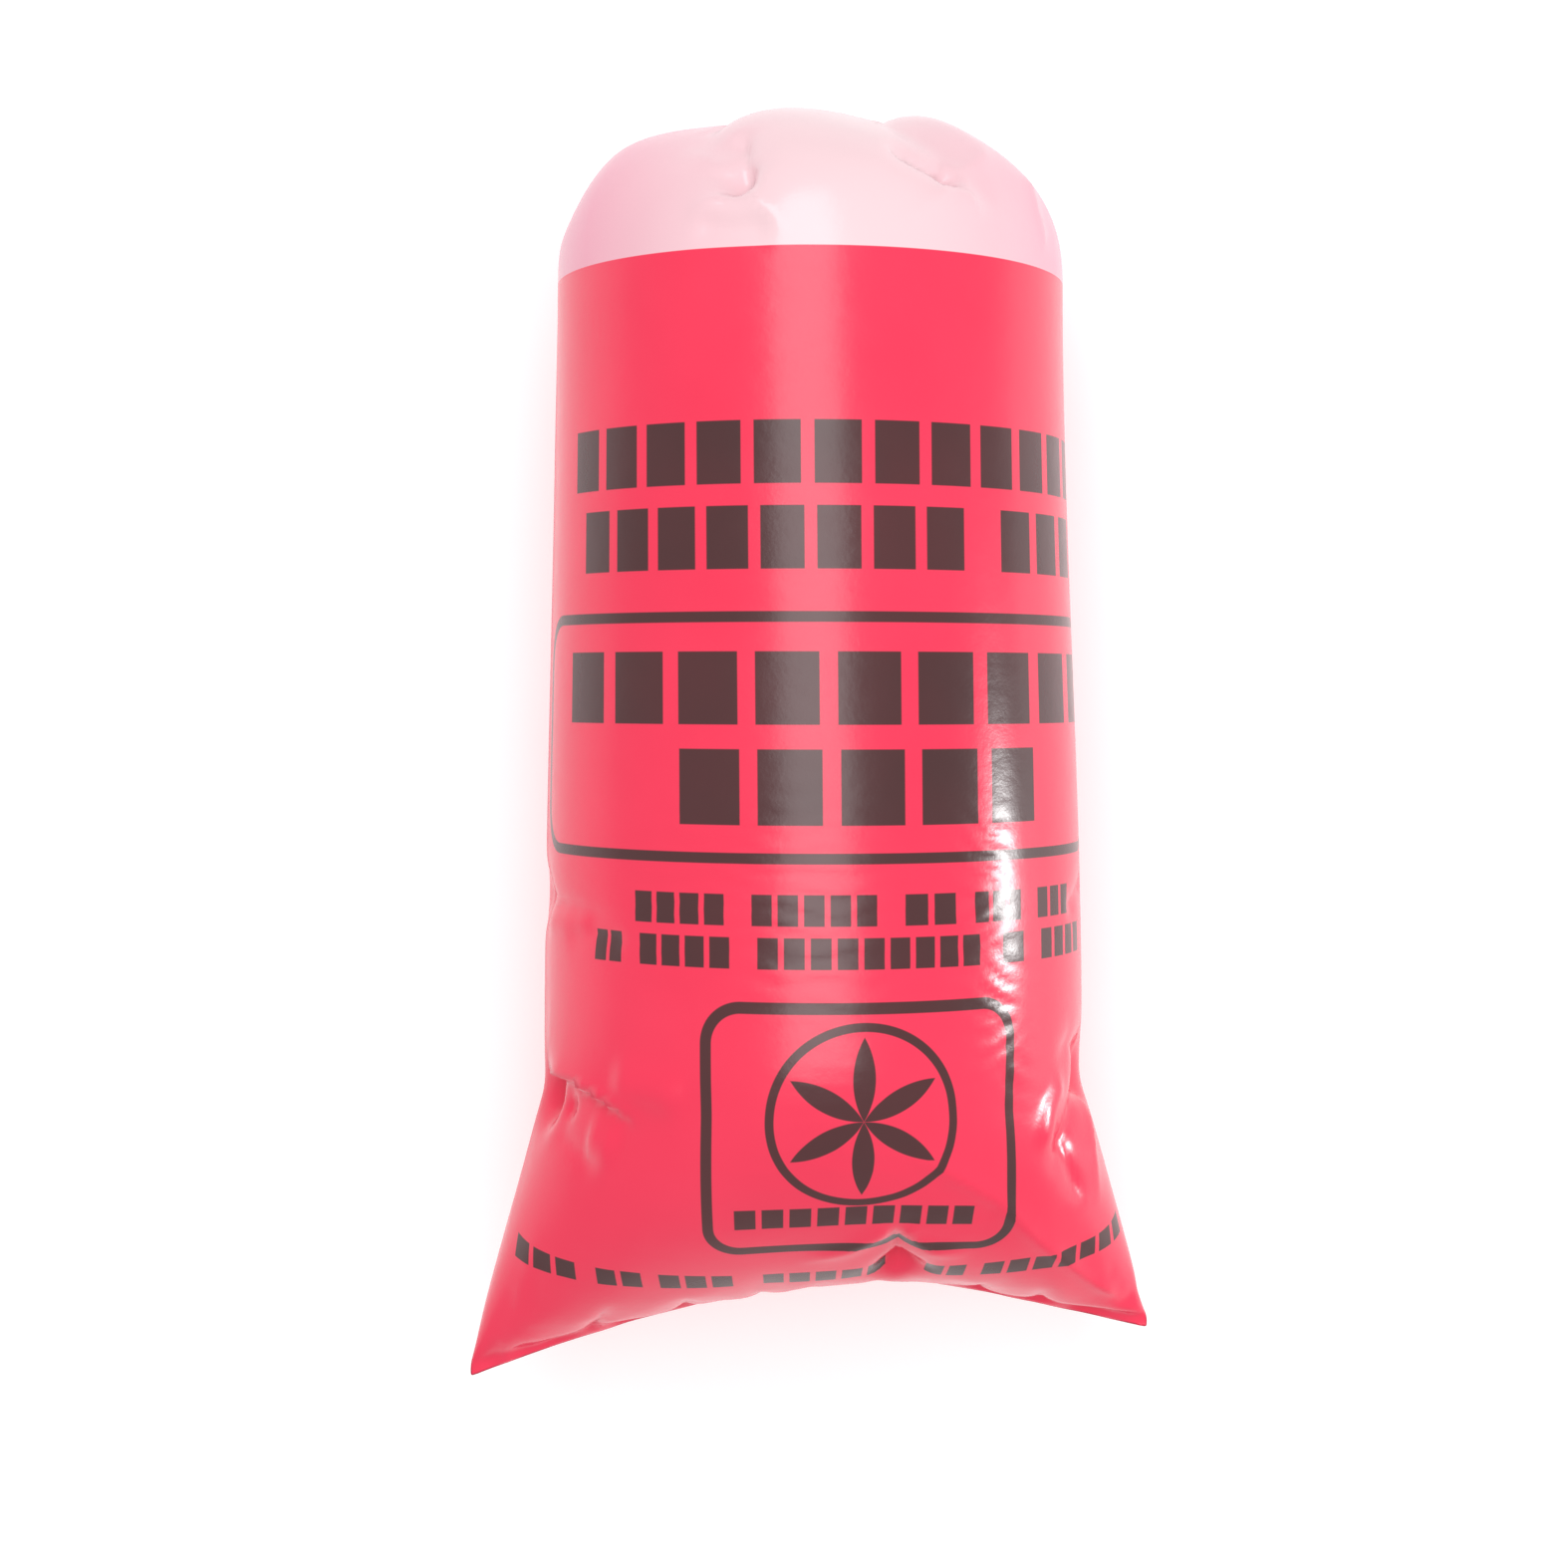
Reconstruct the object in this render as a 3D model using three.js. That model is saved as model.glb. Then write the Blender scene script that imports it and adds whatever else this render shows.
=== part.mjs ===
// An air-filled waste bag of thin plastic film, lying on its back.
// Millimetres, +Z up. The bag's length runs along +Y, from the heat-sealed
// bottom edge at -Y to the gathered and tied neck at +Y; the front faces up.
import * as THREE from 'three';
import { mergeVertices } from 'three/addons/utils/BufferGeometryUtils.js';

// Body: a lay-flat film tube, blown up. It is a little wider than high at the
// foot and a little higher than wide at the head.
const FLAT_WIDTH = 310;
const RADIUS = FLAT_WIDTH / Math.PI;
const BODY_LENGTH = 281;
const FOOT_HALF_WIDTH = 102.4;
const HEAD_HALF_WIDTH = 96.4;
const FOOT_SIDESTEP = 1.8; // how far the foot lies to the right of the head
const REST_FLAT = 4.7; // how much the underside flattens where it lies

// Heat-sealed bottom: a flat seam that falls away to its two pointed corners.
const SEAM_SPAN = 262;
const SEAM_APEX = 28; // the seam's highest place, to the right of the middle
const LEFT_CORNER_REACH = 40; // how far the corner reaches past the apex
const RIGHT_CORNER_REACH = 21;
const LEFT_SEAM_BOW = 1.55; // power of the seam's fall, 1 is straight
const RIGHT_SEAM_BOW = 1.15;
const SEAM_WIDTH = 6;
const SEAM_THICKNESS = 2;
const TUCK_HEIGHT = 1.6; // of the small tucks along the seam
const TUCK_REACH = 26;
const TUCKS = [[17, 1, 0.6], [29, 0.7, 2.1], [43, 0.5, 4]]; // count, share and turn

// Base: the end from the seam to the full body. Its sides run straight from
// the corners to a pinch, where the film has length to spare.
const BASE_DEPTH = 92;
const BASE_SWEEP = 1.5; // power of how the seam's fall fades out over the base
const PINCH_SHARE = 0.86;

// Gathered end: a square-shouldered dome of lobes between sharp valleys.
const DOME_HEIGHT = 56;
const DOME_SQUARENESS = 2.6; // power of the dome's profile, 2 is an ellipse
const LOBES = 6;
const FIRST_VALLEY = THREE.MathUtils.degToRad(-18);
const LOBE_SWELL = 0.12; // outwards, as a share of the dome's radius
const LOBE_RISE = 7; // towards the neck
const PULL_START = 0.4; // share of the dome past which it leans to the neck
const TILT_START = 0.88; // share of the dome past which it turns to the neck

// Neck, tie and the loose tail of film past the tie, hanging at the back.
const NECK_RADIUS = 4.2;
const NECK_OFFSET = 27; // sideways from the bag's middle
const NECK_HEIGHT = 78.6; // above the floor, where the dome runs into the neck
const NECK_REACH = 3; // how far the neck's root lies past the dome's crown
const NECK_LENGTH = 16;
const NECK_PITCH = THREE.MathUtils.degToRad(72); // downwards from level
const TAIL_PITCH = THREE.MathUtils.degToRad(90);
const TAIL_DROP = 48;
const TAIL_SIDESTEP = 16;
const TAIL_WIDTH = 44;
const TAIL_THICKNESS = 11;
const TAIL_PLEATS = 13;
const TAIL_PLEAT_DEPTH = 0.28; // as a share of the tail's radius
const TIE_WIDTH = 6;
const TIE_THICKNESS = 1.4;
const TIE_CLEARANCE = 0.3;

// Fineness of the film surface.
const FACETS_AROUND = 120;
const SEAM_ROWS = 2;
const BASE_ROWS = 13;
const BODY_ROWS = 6;
const DOME_ROWS = 16;
const NECK_ROWS = 4;
const TAIL_ROWS = 7;
const PROFILE_STEPS = 400;

const AXIS_HEIGHT = RADIUS - REST_FLAT;
const CORNER_REACH = (LEFT_CORNER_REACH + RIGHT_CORNER_REACH) / 2;
const SEAM_END = LEFT_CORNER_REACH + SEAM_WIDTH;
const BODY_START = SEAM_END + BASE_DEPTH;
const DOME_START = BODY_START + BODY_LENGTH;

const filmMaterial = new THREE.MeshStandardMaterial({ color: 0xf2496b, roughness: 0.3, metalness: 0 });
const tieMaterial = new THREE.MeshStandardMaterial({ color: 0xe6c39a, roughness: 0.7, metalness: 0 });

const { lerp, smoothstep } = THREE.MathUtils;

// The neck's straight run, and then the tail's curve down behind the bag.
const neckDirection = new THREE.Vector3(0, Math.cos(NECK_PITCH), -Math.sin(NECK_PITCH));
const neckRoot = new THREE.Vector3(NECK_OFFSET, DOME_START + DOME_HEIGHT + NECK_REACH, NECK_HEIGHT);
const neckEnd = neckRoot.clone().addScaledVector(neckDirection, NECK_LENGTH);
const tieCentre = neckRoot.clone().lerp(neckEnd, 0.5);
const tailCurve = new THREE.QuadraticBezierCurve3(
  neckEnd,
  neckEnd.clone().addScaledVector(neckDirection, TAIL_DROP / 4),
  neckEnd.clone().add(new THREE.Vector3(TAIL_SIDESTEP, 0, -TAIL_DROP)),
);

// The film goes the same length round everywhere, so what it loses in width it
// gains in height.
const heightFor = (halfWidth) => 2 * RADIUS - halfWidth;

// How far up its side the film is at a share of the base, from corner to body.
function sideShare(t) {
  const run = BASE_DEPTH * (1 - Math.cos((t * Math.PI) / 2)) + CORNER_REACH * (1 - (1 - t) ** BASE_SWEEP);
  return run / (BASE_DEPTH + CORNER_REACH);
}

// How far the seam falls away from its highest place.
function seamFall(across) {
  const away = (SEAM_SPAN / 2) * across - SEAM_APEX;
  const left = Math.max(-away, 0) / (SEAM_SPAN / 2 + SEAM_APEX);
  const right = Math.max(away, 0) / (SEAM_SPAN / 2 - SEAM_APEX);
  return LEFT_CORNER_REACH * left ** LEFT_SEAM_BOW + RIGHT_CORNER_REACH * right ** RIGHT_SEAM_BOW;
}

// The dome's profile, as a share of its radius and of its height.
function domeProfile(turn) {
  const power = 2 / DOME_SQUARENESS;
  return new THREE.Vector2(Math.max(Math.cos(turn), 0) ** power, Math.sin(turn) ** power);
}

const domeSteps = [];
for (let step = 0; step <= PROFILE_STEPS; step += 1) {
  const turn = ((step / PROFILE_STEPS) * Math.PI) / 2;
  const place = domeProfile(turn).multiply(new THREE.Vector2(RADIUS, DOME_HEIGHT));
  const last = domeSteps.at(-1);
  domeSteps.push({ turn, place, run: last ? last.run + last.place.distanceTo(place) : 0 });
}

// Turns a share of the dome's film into the angle of its profile.
function domeTurn(share) {
  const run = share * domeSteps.at(-1).run;
  const next = domeSteps.findIndex((step) => step.run >= run);
  if (next <= 0) return 0;
  const [low, high] = [domeSteps[next - 1], domeSteps[next]];
  return lerp(low.turn, high.turn, (run - low.run) / (high.run - low.run));
}

// A ring of the film is an oval round a centre, leaning forward by a pitch,
// with its half width and half height. What else shapes it is 0 unless given:
// lobes and their rise, the seam's fall and its tucks, and the tail's pleats.
function ring(centre, pitch, halfWidth, halfHeight, extra = {}) {
  return { centre, pitch, halfWidth, halfHeight, lobes: 0, rise: 0, fall: 0, tuck: 0, pleat: 0, ...extra };
}

function seamRing(t) {
  const centre = new THREE.Vector3(0, lerp(LEFT_CORNER_REACH, SEAM_END, t), AXIS_HEIGHT);
  return ring(centre, 0, SEAM_SPAN / 2, (t * SEAM_THICKNESS) / 2, { fall: 1 });
}

function baseRing(t) {
  const middle = SEAM_END + BASE_DEPTH * (1 - Math.cos((t * Math.PI) / 2));
  const sidestep = FOOT_SIDESTEP * smoothstep(t, 0, PINCH_SHARE);
  const flare = Math.min(sideShare(t) / sideShare(PINCH_SHARE), 1);
  const halfHeight = heightFor(FOOT_HALF_WIDTH) * Math.sin((t * Math.PI) / 2);
  const baseFilm = (Math.PI / 2) * Math.hypot(BASE_DEPTH, heightFor(FOOT_HALF_WIDTH)) * Math.SQRT1_2;
  return ring(
    new THREE.Vector3(sidestep, middle, AXIS_HEIGHT),
    0,
    lerp(SEAM_SPAN / 2, FOOT_HALF_WIDTH, flare),
    Math.max(halfHeight, SEAM_THICKNESS / 2),
    { fall: (1 - t) ** BASE_SWEEP, tuck: TUCK_HEIGHT * Math.exp(-(SEAM_WIDTH + t * baseFilm) / TUCK_REACH) },
  );
}

function bodyRing(t) {
  const taper = smoothstep(t, 0, 1);
  const halfWidth = lerp(FOOT_HALF_WIDTH, HEAD_HALF_WIDTH, taper);
  const centre = new THREE.Vector3(FOOT_SIDESTEP * (1 - taper), lerp(BODY_START, DOME_START, t), AXIS_HEIGHT);
  return ring(centre, 0, halfWidth, heightFor(halfWidth));
}

function domeRing(t) {
  const profile = domeProfile(domeTurn(t));
  const pull = smoothstep(t, PULL_START, 1);
  const crown = DOME_START + DOME_HEIGHT * profile.y;
  const centre = new THREE.Vector3(
    NECK_OFFSET * pull,
    lerp(crown, neckRoot.y, pull ** 3),
    lerp(AXIS_HEIGHT, NECK_HEIGHT, pull),
  );
  return ring(
    centre,
    NECK_PITCH * smoothstep(t, TILT_START, 1),
    lerp(NECK_RADIUS, HEAD_HALF_WIDTH, profile.x),
    lerp(NECK_RADIUS, heightFor(HEAD_HALF_WIDTH), profile.x),
    {
      lobes: LOBE_SWELL * smoothstep(t, 0.12, 0.6) * (1 - 0.6 * smoothstep(t, 0.7, 1)),
      rise: LOBE_RISE * smoothstep(t, 0.1, 0.65) * (1 - smoothstep(t, 0.75, 0.98)),
    },
  );
}

function neckRing(t) {
  return ring(neckRoot.clone().lerp(neckEnd, t), NECK_PITCH, NECK_RADIUS, NECK_RADIUS);
}

function tailRing(t) {
  const fan = smoothstep(t, 0, 1);
  return ring(
    tailCurve.getPoint(t),
    lerp(NECK_PITCH, TAIL_PITCH, t),
    lerp(NECK_RADIUS, TAIL_WIDTH / 2, fan),
    lerp(NECK_RADIUS, TAIL_THICKNESS / 2, t),
    { pleat: TAIL_PLEAT_DEPTH * fan },
  );
}

// The stretches of film in order, each with its number of rows.
const stretches = [
  [seamRing, SEAM_ROWS],
  [baseRing, BASE_ROWS],
  [bodyRing, BODY_ROWS],
  [domeRing, DOME_ROWS],
  [neckRing, NECK_ROWS],
  [tailRing, TAIL_ROWS],
];

function ringsOf(list) {
  const rings = [list[0][0](0)];
  for (const [ringAt, rows] of list) {
    for (let row = 1; row <= rows; row += 1) rings.push(ringAt(row / rows));
  }
  return rings;
}

// The point of a ring at an angle round it, 0 at the front, growing to the right.
function filmPoint(shape, angle) {
  const across = Math.sin(angle);
  const facing = Math.cos(angle);
  const wave = Math.abs(Math.sin((LOBES / 2) * (angle - FIRST_VALLEY)));
  const pleat = Math.cos(TAIL_PLEATS * angle + 2 * Math.sin(3 * angle));
  const form = 1 + shape.lobes * (wave - 0.62) + shape.pleat * pleat;
  const ripple = TUCKS.reduce((sum, [count, share, turn]) => sum + share * Math.sin(angle * count + turn), 0);
  const tuck = shape.tuck * ripple * smoothstep(Math.abs(facing), 0.05, 0.5);
  const up = shape.halfHeight * form * facing + tuck;
  const along = shape.rise * (wave - 0.3) - shape.fall * seamFall(across);
  return new THREE.Vector3(
    shape.centre.x + shape.halfWidth * form * across,
    shape.centre.y + up * Math.sin(shape.pitch) + along,
    Math.max(shape.centre.z + up * Math.cos(shape.pitch), 0),
  );
}

// The bag is a cone's closed skin, with each row of it laid on its own ring.
// The cone's open foot is pressed flat and so closed by the seam.
function bagGeometry() {
  const rings = ringsOf(stretches);
  const rows = rings.length;
  const skin = new THREE.ConeGeometry(1, 1, FACETS_AROUND, rows, true);
  skin.deleteAttribute('normal');
  skin.deleteAttribute('uv');
  const place = skin.getAttribute('position');
  for (let i = 0; i < place.count; i += 1) {
    const row = Math.round((place.getY(i) + 0.5) * rows);
    const angle = Math.atan2(place.getX(i), place.getZ(i));
    const point = row < rows ? filmPoint(rings[row], angle) : rings[rows - 1].centre;
    place.setXYZ(i, point.x, point.y, point.z);
  }
  const closed = mergeVertices(skin, 1e-3);
  closed.computeVertexNormals();
  return closed;
}

// The tie is a band wound round the neck, drawn as one flat-sided ring.
function tieGeometry() {
  const inner = NECK_RADIUS + TIE_CLEARANCE;
  const outer = inner + TIE_THICKNESS;
  const profile = [
    [inner, -TIE_WIDTH / 2],
    [outer, -TIE_WIDTH / 2],
    [outer, TIE_WIDTH / 2],
    [inner, TIE_WIDTH / 2],
    [inner, -TIE_WIDTH / 2],
  ].map(([radius, along]) => new THREE.Vector2(radius, along));
  return new THREE.LatheGeometry(profile, FACETS_AROUND);
}

const bag = new THREE.Mesh(bagGeometry(), filmMaterial);
bag.name = 'bag';

const tie = new THREE.Mesh(tieGeometry(), tieMaterial);
tie.name = 'neck_tie';
tie.position.copy(tieCentre);
tie.rotation.x = -NECK_PITCH;

// The origin is on the floor, under the middle of the bag's length and width.
const wasteBag = new THREE.Group();
wasteBag.add(bag, tie);
const middle = new THREE.Box3().setFromObject(wasteBag).getCenter(new THREE.Vector3());
wasteBag.position.set(-middle.x, -middle.y, 0);

export default wasteBag;
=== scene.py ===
"""Dresses an air-filled waste bag of thin film, lying on its back with its front up."""

import logging
import math
from dataclasses import dataclass, field
from enum import Enum

import bmesh
import bpy
import numpy as np
from mathutils import Matrix, Vector


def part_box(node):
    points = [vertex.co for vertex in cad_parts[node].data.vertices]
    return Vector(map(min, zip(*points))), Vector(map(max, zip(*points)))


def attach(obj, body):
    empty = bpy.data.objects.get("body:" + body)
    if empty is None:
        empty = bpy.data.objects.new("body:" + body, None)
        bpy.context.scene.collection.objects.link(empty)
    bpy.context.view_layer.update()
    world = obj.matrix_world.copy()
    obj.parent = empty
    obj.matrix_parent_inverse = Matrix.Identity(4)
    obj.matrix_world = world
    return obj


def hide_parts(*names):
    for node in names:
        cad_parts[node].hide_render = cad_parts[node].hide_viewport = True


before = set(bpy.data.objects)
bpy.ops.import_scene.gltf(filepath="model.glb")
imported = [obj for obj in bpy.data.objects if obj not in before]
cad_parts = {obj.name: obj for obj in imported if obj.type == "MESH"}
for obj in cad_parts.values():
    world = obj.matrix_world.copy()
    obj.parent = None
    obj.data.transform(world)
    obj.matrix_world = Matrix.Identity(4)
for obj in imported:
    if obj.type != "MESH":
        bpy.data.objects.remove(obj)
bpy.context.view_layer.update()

MM = 0.001

log = logging.getLogger("waste_bag")


def smooth(share: np.ndarray, low: float = 0, high: float = 1) -> np.ndarray:
    """Rises smoothly from 0 at low to 1 at high."""
    part = np.clip((share - low) / (high - low), 0, 1)
    return part * part * (3 - 2 * part)


@dataclass
class FilmForm:
    """The bag's film and the blown-up form that it is laid on.

    A place on the film has an angle round the bag, 0 at the front and growing
    to the right, and a distance along the film from the sealed bottom edge.
    """

    flat_width: float = 310 * MM
    seam_film: float = 6 * MM
    base_film: float = 144 * MM
    body_film: float = 281 * MM
    dome_film: float = 131 * MM
    neck_film: float = 16 * MM
    tail_film: float = 56 * MM
    lining_film: float = 24 * MM
    seam_span: float = 262 * MM
    seam_apex: float = 28 * MM
    left_corner_reach: float = 40 * MM
    right_corner_reach: float = 21 * MM
    left_seam_bow: float = 1.55
    right_seam_bow: float = 1.15
    base_depth: float = 92 * MM
    base_sweep: float = 1.5
    pinch_share: float = 0.86
    foot_half_width: float = 102.4 * MM
    head_half_width: float = 96.4 * MM
    foot_sidestep: float = 1.8 * MM
    dome_height: float = 58 * MM
    dome_squareness: float = 2.6
    neck_radius: float = 4.2 * MM
    neck_pitch: float = math.radians(72)
    tail_drop: float = 48 * MM
    tail_sidestep: float = 16 * MM
    tail_width: float = 44 * MM
    tail_thickness: float = 11 * MM
    tail_pitch: float = math.radians(90)
    film_wall: float = 0.5 * MM
    lean_start: float = 0.4
    tilt_start: float = 0.88
    lobes: int = 6
    first_valley: float = math.radians(-18)
    lobe_twist: float = math.radians(-22)
    twist_end: float = 0.7
    lobe_lean: float = 0.7
    lobe_middle: float = 0.6
    lobe_swell: float = 0.12
    lobe_rise: float = 7 * MM
    lobe_start: float = 0.1
    lobe_full: float = 0.62
    lobe_fade: float = 0.75
    neck_swell: float = 0.4
    tail_pleats: int = 13
    tail_pleat_depth: float = 0.28
    tail_pleat_drift: float = 2
    tail_pleat_crowds: int = 3
    tuck_height: float = 1.6 * MM
    tuck_reach: float = 26 * MM
    tuck_side_fade: float = 0.5
    tuck_waves: tuple[tuple[float, float, float], ...] = ((1, 17, 0.6), (0.7, 29, 2.1), (0.5, 43, 4))
    tail_sag: float = 0.5
    lean_ease: int = 3
    lining_turn: float = 8
    profile_steps: int = 400
    ring_steps: int = 60
    row_digits: int = 7
    row_gap: float = 0.001 * MM

    def __post_init__(self) -> None:
        """Works out what follows from the sizes and from the frame's boxes."""
        low, high = (Vector(corner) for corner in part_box("bag"))
        tie_low, tie_high = (Vector(corner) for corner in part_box("neck_tie"))
        self.radius = self.flat_width / math.pi
        self.axis_height = high.z - 2 * self.radius + self.head_half_width
        self.seam_y = low.y + self.left_corner_reach
        self.along_neck = Vector((0, math.cos(self.neck_pitch), -math.sin(self.neck_pitch)))
        self.neck_middle = (tie_low + tie_high) / 2
        self.corner_y = low.y
        self.neck_root = self.neck_middle - self.along_neck * self.neck_film / 2
        self.body_start = self.seam_film + self.base_film
        self.dome_start = self.body_start + self.body_film
        self.neck_start = self.dome_start + self.dome_film
        self.tail_start = self.neck_start + self.neck_film
        self.mouth = self.tail_start + self.tail_film
        self.cut_length = self.mouth + self.lining_film

    def dome_turn(self, share: np.ndarray) -> np.ndarray:
        """Turns a share of the dome's film into the angle of its oval profile.

        Args:
            share: shares of the film from the body to the neck, 0 to 1.

        Returns:
            The angles in radians, 0 at the body and a quarter turn at the neck.
        """
        turn = np.linspace(0, math.pi / 2, self.profile_steps)
        power = 2 / self.dome_squareness
        wide = self.radius * np.cos(turn) ** power
        high = self.dome_height * np.sin(turn) ** power
        step = np.hypot(np.diff(wide), np.diff(high))
        run = np.concatenate(([0], np.cumsum(step)))
        return np.interp(share * run[-1], run, turn)

    def seam_line(self, across: np.ndarray) -> np.ndarray:
        """Gives how far the sealed edge falls away from its highest point.

        Args:
            across: shares of the edge's half length, -1 at the left corner and 1 at the right.

        Returns:
            The distances, in metres.
        """
        half = self.seam_span / 2
        away = half * across - self.seam_apex
        left = np.maximum(-away, 0) / (half + self.seam_apex)
        right = np.maximum(away, 0) / (half - self.seam_apex)
        left_fall = self.left_corner_reach * left ** self.left_seam_bow
        right_fall = self.right_corner_reach * right ** self.right_seam_bow
        return left_fall + right_fall

    def half_width(self, base: np.ndarray, body: np.ndarray) -> np.ndarray:
        """Gives the half width where the sides run straight out to the corners.

        Args:
            base: shares of the base's film, 0 at the sealed edge and 1 at the body.
            body: distances along the body, in metres.

        Returns:
            The half widths, in metres.
        """
        corner = (self.left_corner_reach + self.right_corner_reach) / 2
        end = self.side_share(np.array([self.pinch_share]), corner)
        flare = np.minimum(self.side_share(base, corner) / end, 1)
        taper = smooth(np.clip(body / self.body_film, 0, 1))
        foot = self.foot_half_width + (self.head_half_width - self.foot_half_width) * taper
        return self.seam_span / 2 + (foot - self.seam_span / 2) * flare

    def side_share(self, base: np.ndarray, corner: float) -> np.ndarray:
        """Gives how far up its side the film is.

        Args:
            base: shares of the base's film, 0 at the sealed edge and 1 at the body.
            corner: how far the corners reach past the sealed edge's top, in metres.

        Returns:
            The shares of the side's height.
        """
        rise = self.base_depth * (1 - np.cos(base * math.pi / 2))
        run = rise + corner * (1 - (1 - base) ** self.base_sweep)
        return run / (self.base_depth + corner)

    def lobe(self, angle: np.ndarray, dome: np.ndarray) -> np.ndarray:
        """Gives the wave of the lobes.

        Args:
            angle: angles round the bag, in radians.
            dome: shares of the dome's film, 0 at the body and 1 at the neck.

        Returns:
            The wave, 0 in the sharp valleys and 1 on the tops.
        """
        valley = self.first_valley + self.lobe_twist * smooth(dome, self.lobe_start, self.twist_end)
        turn = self.lobes * (angle - valley) / (2 * math.pi)
        return np.sin(math.pi * np.mod(turn, 1) ** self.lobe_lean)

    def tucks(self, angle: np.ndarray, along: np.ndarray) -> np.ndarray:
        """Gives the height of the small irregular tucks along the sealed edge.

        Args:
            angle: angles round the bag, in radians.
            along: distances along the film from the sealed edge, in metres.

        Returns:
            The heights, in metres.
        """
        wave = sum(share * np.sin(angle * count + start) for share, count, start in self.tuck_waves)
        fade = smooth(along, 0, self.seam_film) * np.exp(-along / self.tuck_reach)
        return self.tuck_height * wave * fade * smooth(np.abs(np.cos(angle)), 0, self.tuck_side_fade)

    def evened(self, angle: np.ndarray, along: np.ndarray) -> np.ndarray:
        """Shifts angles so that the film lies evenly round each quarter of the form.

        Args:
            angle: angles round the film, in radians.
            along: distances along the film from the sealed edge, in metres.

        Returns:
            The angles at which the film's places lie on the form.
        """
        laid = np.array(angle, dtype=float)
        quarter = math.pi / 2
        for place in np.unique(along.round(self.row_digits)):
            row = np.abs(along - place) < self.row_gap
            for start in (-2, -1, 0, 1):
                turns = np.linspace(start, start + 1, self.ring_steps) * quarter
                ring = self.blown(turns, np.full_like(turns, place))
                steps = np.linalg.norm(np.diff(ring, axis=0), axis=1)
                run = np.concatenate(([0], np.cumsum(steps)))
                part = row & (angle >= turns[0]) & (angle <= turns[-1])
                laid[part] = np.interp((angle[part] - turns[0]) / quarter * run[-1], run, turns)
        return laid

    def blown(self, angle: np.ndarray, along: np.ndarray) -> np.ndarray:
        """Lays film places on the blown-up form.

        Args:
            angle: angles round the bag, in radians.
            along: distances along the film from the sealed edge, in metres.

        Returns:
            One row of x, y and z for each place.
        """
        across, facing = np.sin(angle), np.cos(angle)
        seam = np.clip(along / self.seam_film, 0, 1)
        base = np.clip((along - self.seam_film) / self.base_film, 0, 1)
        body = np.clip(along - self.body_start, 0, self.body_film)
        dome = np.clip((along - self.dome_start) / self.dome_film, 0, 1)
        neck = np.clip(along - self.neck_start, 0, self.neck_film)
        tail = np.clip((along - self.tail_start) / self.tail_film, 0, 1)
        lining = np.clip((along - self.mouth) / self.lining_film, 0, 1)
        inner = np.minimum(lining * self.lining_turn, 1)
        tail = tail - lining * self.lining_film / self.tail_film

        swell = np.sin(base * math.pi / 2)
        turn = self.dome_turn(dome)
        power = 2 / self.dome_squareness
        closing = 1 - np.maximum(np.cos(turn), 0) ** power
        rise = self.dome_height * np.sin(turn) ** power
        lean = smooth(dome, self.lean_start, 1)
        fan = smooth(tail)
        wide = self.half_width(base, body)
        wide = wide + (self.neck_radius - wide) * closing
        wide = wide + (self.tail_width / 2 - self.neck_radius) * fan - inner * self.film_wall
        high = 2 * self.radius - self.half_width(np.ones_like(body), body)
        high = high * swell + seam * self.film_wall * (1 - swell)
        high = high + (self.neck_radius - high) * closing
        high = high + (self.tail_thickness / 2 - self.neck_radius) * tail - inner * self.film_wall
        crowd = self.tail_pleat_drift * np.sin(self.tail_pleat_crowds * angle)
        pleat = self.tail_pleat_depth * fan * np.cos(self.tail_pleats * angle + crowd)
        lobe = self.lobe(angle, dome) - self.lobe_middle
        swelling = smooth(dome, self.lobe_start, self.lobe_full)
        fading = smooth(dome, self.lobe_fade, 1)
        form = 1 + self.lobe_swell * swelling * (1 - fading * (1 - self.neck_swell)) * lobe + pleat

        bottom = self.base_depth * (1 - np.cos(base * math.pi / 2))
        middle_y = self.seam_y + self.seam_film * seam + bottom + body
        crown_y = middle_y + rise
        bend = self.tail_sag * tail * (1 - tail) * self.tail_drop
        sidestep = self.foot_sidestep * smooth(base, 0, self.pinch_share)
        centre_x = self.neck_root.x * lean + tail ** 2 * self.tail_sidestep
        centre_x = centre_x + sidestep * (1 - smooth(body / self.body_film))
        centre_y = crown_y + (self.neck_root.y - crown_y) * lean ** self.lean_ease
        centre_y = centre_y + (neck + bend) * self.along_neck.y
        centre_z = self.axis_height + (self.neck_root.z - self.axis_height) * lean
        centre_z = centre_z + (neck + bend) * self.along_neck.z - tail ** 2 * self.tail_drop
        pitch = self.neck_pitch * smooth(dome, self.tilt_start, 1)
        pitch = pitch + tail * (self.tail_pitch - self.neck_pitch)

        side = wide * form * across
        up = high * form * facing + self.tucks(angle, along)
        back = self.lobe_rise * swelling * (1 - fading) * lobe
        back = back - self.seam_line(across) * (1 - base) ** self.base_sweep
        y = centre_y + up * np.sin(pitch) + back
        z = centre_z + up * np.cos(pitch)
        return np.stack((centre_x + side, y, z), axis=1)


class Profile(Enum):
    """How a crease looks across its line."""

    SOFT = "soft"
    SHARP = "sharp"
    STEP = "step"


SHARP_REACH = 4
STEP_BACK = -0.35
LEAST_FADE = 1e-3


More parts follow.
